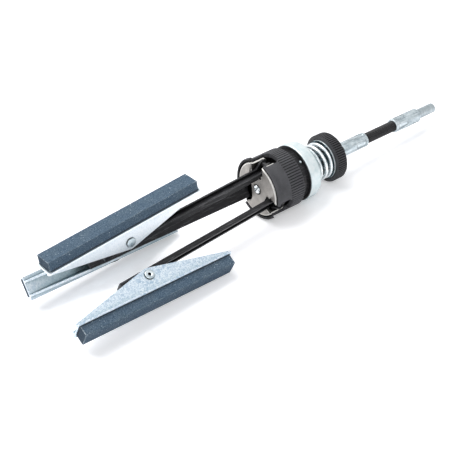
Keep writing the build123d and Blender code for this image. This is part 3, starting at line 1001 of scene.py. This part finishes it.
# Head: plate, collar, sleeve
def add_screw():
    """Domed, slotted screw on a seat painted dark as shade, in the middle of the front plate."""
    front = collar_front - screw_dome
    turns = [math.radians(4 + 80 * step / 14) for step in range(15)]
    dome = [(front + screw_dome * (1 - math.cos(a)), screw_dome_radius * math.sin(a)) for a in turns]
    profile = [
        *dome,
        (collar_front - 0.15 * MM, screw_dome_radius + 0.02 * MM),
        (collar_front - 0.15 * MM, screw_radius - 0.1 * MM),
        (collar_front + 0.1 * MM, screw_radius),
        (collar_front + 0.4 * MM, 0.7 * screw_radius),
        (collar_front + 3 * MM, 0.6 * screw_radius),
    ]
    mesh = lathe("end_screw_slotted", profile, 96, closed=False, sharp=60)
    for vertex in mesh.vertices:
        turned = vertex.co.y * math.cos(screw_turn) + vertex.co.z * math.sin(screw_turn)
        across = math.hypot(vertex.co.y, vertex.co.z)
        if vertex.co.x < collar_front and across < screw_dome_radius and abs(turned) < screw_slot:
            vertex.co.x += screw_slot_deep
    add_piece("end_screw_slotted", mesh, "spring_steel", "spindle_body", ("end_screw",))
    # Painted shade: the seat round the dome is drawn in the dark shade steel.
    dark = "painted_shade_steel"
    paint(mesh, dark, lambda face: math.hypot(face.center.y, face.center.z) > screw_dome_radius)


def add_head():
    """Front plate, grip, slider and the pins."""
    def outer_edge(edge):
        ends = [vertex.co for vertex in edge.verts]
        return all(math.hypot(end.y, end.z) > plate_rim and end.x < plate_face for end in ends)

    def lug_top(face):
        outward = Vector((0, face.center.y, face.center.z)).normalized()
        return face.center.x > lug_start and outward.dot(face.normal) > 0.9

    plate = add_finished(
        "front_plate", "plate_steel", "spindle_body",
        0.25 * MM, 3, outer_edge, plate_rim_round,
    )
    # Pale sheared steel on the lugs' top edges, partly a painted highlight.
    paint(plate.data, "sheared_steel_and_highlight", lug_top)
    # Painted shade on the lugs' flanks and every face behind the plate's front.
    paint(plate.data, "painted_shade_steel", lambda face: face.center.x > plate_face and not lug_top(face))
    # The rounded outer rim gets the same pale steel, partly a painted highlight.
    plate.modifiers["Rounded edges"].material = 1
    plate.modifiers["Rounded edges"].use_clamp_overlap = False
    grip = add_finished("collar", "black_nylon", "spindle_body", 0.12 * MM, 2)
    front_end = collar_front + 3 * MM
    # Painted shade on the collar's front faces.
    paint(grip.data, "painted_shade_nylon", lambda face: face.normal.x < -0.9 and face.center.x < front_end)
    add_finished("thrust_sleeve", "black_oxide", "sleeve", 0.35 * MM)
    add_finished("guide_pin", "zinc_turned", "sleeve", 0.1 * MM)
    for number in arms:
        add_finished(f"pivot_pin_{number}", "black_oxide", "spindle_body", 0.2 * MM)


# Cup, spring, washer and nut
def arc(centre_x, centre_r, size_x, size_r, start, end, steps):
    """Points of part of an ellipse, angles in degrees from the +x direction towards larger radius."""
    angles = [math.radians(start + (end - start) * step / steps) for step in range(steps + 1)]
    return [(centre_x + size_x * math.cos(a), centre_r + size_r * math.sin(a)) for a in angles]


def curve(start, corner, end, steps):
    """Points that leave one place towards a corner and bend over to another place."""
    shares = [step / steps for step in range(steps + 1)]
    return [
        tuple((1 - t) ** 2 * a + 2 * t * (1 - t) * c + t * t * b for a, c, b in zip(start, corner, end))
        for t in shares
    ]


def add_cup():
    """Thick cup: rounded front edge, barrel, sloping shoulder and the rear face under the spring."""
    barrel_end = cup_front + cup_barrel
    rounded = cup_front_round
    profile = [
        (cup_front, thread_bore),
        *arc(cup_front + rounded, cup_radius - rounded, rounded, rounded, 180, 90, 6),
        *curve(
            (barrel_end - 0.8 * MM, cup_radius),
            (barrel_end + shoulder_rise, cup_radius),
            (barrel_end + 2.6 * MM, cup_radius - 2.3 * MM),
            10,
        ),
        *curve(
            (cup_rear - 0.9 * MM, cup_seat_radius + 1.0 * MM),
            (cup_rear, cup_seat_radius),
            (cup_rear, cup_seat_radius - 0.8 * MM),
            5,
        ),
        (cup_rear, thread_bore),
    ]
    mesh = lathe("spring_cup_turned", profile, 160, sharp=50)
    add_piece("spring_cup_turned", mesh, "satin_zinc", "sleeve", ("spring_cup",))
    # Painted shade: the shoulder behind the barrel gets the darker zinc.
    paint(mesh, "painted_shade_zinc", lambda face: face.center.x > barrel_end + shoulder_rise)


def spring_point(turn):
    """Centre of the wire after a number of turns; both ends lie flat on their seats."""
    start = spring_front + wire_radius
    end = spring_rear - wire_radius
    rise = spring_turns - 2 * spring_seat_turns
    share = min(max((turn - spring_seat_turns) / rise, 0.0), 1.0)
    angle = 2 * math.pi * turn + math.radians(spring_phase)
    coil = spring_radius - wire_radius
    return Vector((start + share * (end - start), coil * math.cos(angle), coil * math.sin(angle)))


def smooth_step(value):
    """0 below 0, 1 above 1, and an even curve between."""
    share = min(max(value, 0.0), 1.0)
    return share * share * (3 - 2 * share)


def add_spring():
    """Spring in two halves."""
    steps = round(spring_turns * coil_steps)
    middle = steps // 2
    path = [spring_point(spring_turns * step / steps) for step in range(steps + 1)]
    halves = (("front", path[:middle + 1]), ("rear", path[middle:]))
    for half, points in halves:
        mesh = tube_along(f"spring_{half}", points, wire_radius, wire_sides)
        wire = "spring_steel"
        piece = add_piece(f"spring_{half}", mesh, wire, None, ("tension_spring",))
        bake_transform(piece)


def add_nut():
    """Knurled nut with a bevelled rear rim and a recess in front."""
    def knurl(x, radius, angle):
        inside = nut_front + 0.4 * MM < x < nut_rear - 0.5 * nut_bevel
        if radius < 0.9 * nut_radius or not inside:
            return 0.0
        share = (angle * knurl_count / (2 * math.pi)) % 1.0
        return knurl_depth * smooth_step(abs(share - 0.5) * 4 - 1)

    edge = 0.35 * MM
    profile = [
        (nut_front + nut_recess, thread_bore),
        (nut_front + nut_recess, nut_recess_radius - 0.01 * MM),
        (nut_front, nut_recess_radius),
        (nut_front, nut_radius - knurl_depth - edge),
        (nut_front + edge, nut_radius - knurl_depth),
        (nut_front + 0.6 * MM, nut_radius - 0.02 * MM),
        (nut_front + 1.0 * MM, nut_radius),
        (nut_rear - nut_bevel - 0.4 * MM, nut_radius),
        (nut_rear - nut_bevel, nut_radius - 0.05 * MM),
        (nut_rear - 0.6 * nut_bevel, nut_radius - 0.3 * nut_bevel),
        (nut_rear - 0.25 * nut_bevel, nut_radius - 0.7 * nut_bevel),
        (nut_rear, nut_radius - 1.2 * nut_bevel),
        (nut_rear, thread_bore + 0.8 * MM),
        (nut_rear - 0.8 * MM, thread_bore),
    ]
    mesh = lathe("tension_nut_knurled", profile, knurl_count * 8, knurl, sharp=48)
    add_piece("tension_nut_knurled", mesh, "knurled_nylon", "nut", ("tension_nut",))
    washer = add_finished("thrust_washer", "washer_zinc", "nut_carriage", 0.25 * MM)
    # Painted shade: the washer's front face is drawn in the dark steel.
    paint(washer.data, "dark_steel_painted_shade", lambda face: face.normal.x < -0.9)


# Spindle, ferrules, cable and shank
def straight(start, end, rings, radius):
    """Evenly spaced profile points of one radius."""
    return [(start + (end - start) * ring / rings, radius) for ring in range(rings + 1)]


def add_thread():
    """Thread on the spindle, from inside the cup to the front ferrule."""
    def groove(x, radius, angle):
        share = ((x - thread_front) / thread_pitch - angle / (2 * math.pi)) % 1.0
        return thread_depth * (1 - abs(2 * share - 1))

    end = ferrule_1_front + 2 * MM
    rings = round((end - thread_front) / thread_pitch * 6)
    profile = straight(thread_front, end, rings, thread_radius)
    mesh = lathe("spindle_thread", profile, 36, groove, closed=False, sharp=80)
    # Painted shade: the thread is drawn in the dark steel.
    add_piece("spindle_thread", mesh, "dark_steel_painted_shade", "spindle_body", ())


def add_spindle():
    """The spindle is seen only where its thread is, so its plain solid is drawn in under the thread."""
    mesh = frame["nodes"]["spindle"].data.copy()
    work = bmesh.new()
    work.from_mesh(mesh)
    bmesh.ops.remove_doubles(work, verts=work.verts, dist=2e-6)
    work.to_mesh(mesh)
    work.free()
    # Painted shade: the core is drawn in the dark steel.
    add_piece("spindle_core", mesh, "dark_steel_painted_shade", "spindle_body", ("spindle",))
    for vertex in mesh.vertices:
        across = math.hypot(vertex.co.y, vertex.co.z)
        if vertex.co.x > thread_front + 1 * MM or abs(across - thread_radius) < 0.05 * MM:
            share = (thread_radius - thread_depth) / max(across, thread_radius)
            vertex.co.y *= share
            vertex.co.z *= share


def dent(x, radius, angle, start, middle_angle, taper):
    """Depth of one pressed dent with soft walls at a place on a ferrule."""
    along = (x - start) / crimp_long
    if not 0 <= along <= 1:
        return 0.0
    offset = (angle - middle_angle + math.pi) % (2 * math.pi) - math.pi
    half = 0.5 * crimp_wide * (1 - taper * along)
    side = abs(offset * radius) / half
    ends = smooth_step(min(along, 1 - along) * crimp_long / crimp_end)
    return crimp_deep * ends * smooth_step((1.25 - side) / 0.4)


def add_ferrule(name, start, end, dent_start, taper, body):
    """Ferrule with rounded ends and a ring of four dents that grip the cable."""
    def crimp(x, radius, angle):
        if radius < 0.9 * ferrule_radius:
            return 0.0
        middles = [math.radians(crimp_turn + 90 * turn) for turn in range(4)]
        return max(dent(x, radius, angle, dent_start, middle, taper) for middle in middles)

    edge = ferrule_edge
    bore = cable_radius + 0.05 * MM
    rings = round((end - start - 2 * edge) / (0.5 * MM))
    long = end - start - 2 * edge
    outside = [(start + edge + long * ring / rings, ferrule_radius) for ring in range(rings + 1)]
    profile = [
        (start + 1 * MM, bore),
        (start, bore),
        *arc(start + edge, ferrule_radius - edge, edge, edge, 180, 100, 5),
        *outside,
        *arc(end - edge, ferrule_radius - edge, edge, edge, 80, 0, 5),
        (end, bore),
        (end - 1 * MM, bore),
    ]
    mesh = lathe(name + "_crimped", profile, 128, crimp, closed=False, sharp=50)
    # Marks the dents' walls, where the zinc material paints shade.
    pressed = mesh.attributes.new("crimp", "FLOAT", "POINT")
    for index, vertex in enumerate(mesh.vertices):
        if start + edge < vertex.co.x < end - edge:
            share = (ferrule_radius - math.hypot(vertex.co.y, vertex.co.z)) / crimp_deep
            pressed.data[index].value = 4 * share * (1 - share)
    add_piece(name + "_crimped", mesh, "zinc_drawn", body, (name,))


def add_cable():
    """Flexible shaft: wires wound side by side, between the two ferrules."""
    def wound(x, radius, angle):
        turns = (x - cable_front) / cable_wire_pitch - angle / (2 * math.pi)
        share = (turns * cable_wires) % 1.0
        crown = math.sqrt(max(0.0, 1 - (2 * share - 1) ** 2))
        return cable_groove * (1 - crown) * 2

    lead = cable_wire_pitch / cable_wires
    rings = round((cable_rear - cable_front) / lead * 8)
    profile = straight(cable_front, cable_rear, rings, cable_radius)
    mesh = lathe("drive_cable_wound", profile, 48, wound, closed=False, sharp=80)
    piece = add_piece("drive_cable_wound", mesh, "cable_wire", None, ("drive_cable",))
    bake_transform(piece)


for number in arms:
    add_stone(number)
    add_holder(number)
    add_arm(number)
    add_rivet(number)
add_head()
add_screw()
add_cup()
add_spring()
add_nut()
add_thread()
add_spindle()
front_dents = ferrule_1_rear - crimp_inset - crimp_long
rear_dents = ferrule_2_front + crimp_inset
add_ferrule("front_ferrule", ferrule_1_front, ferrule_1_rear, front_dents, 0.0, "spindle_body")
add_ferrule("rear_ferrule", ferrule_2_front, ferrule_2_rear, rear_dents, 0.5, "drive_end")
add_cable()
add_finished("drive_shank", "shank_zinc", "drive_end", 0.2 * MM)
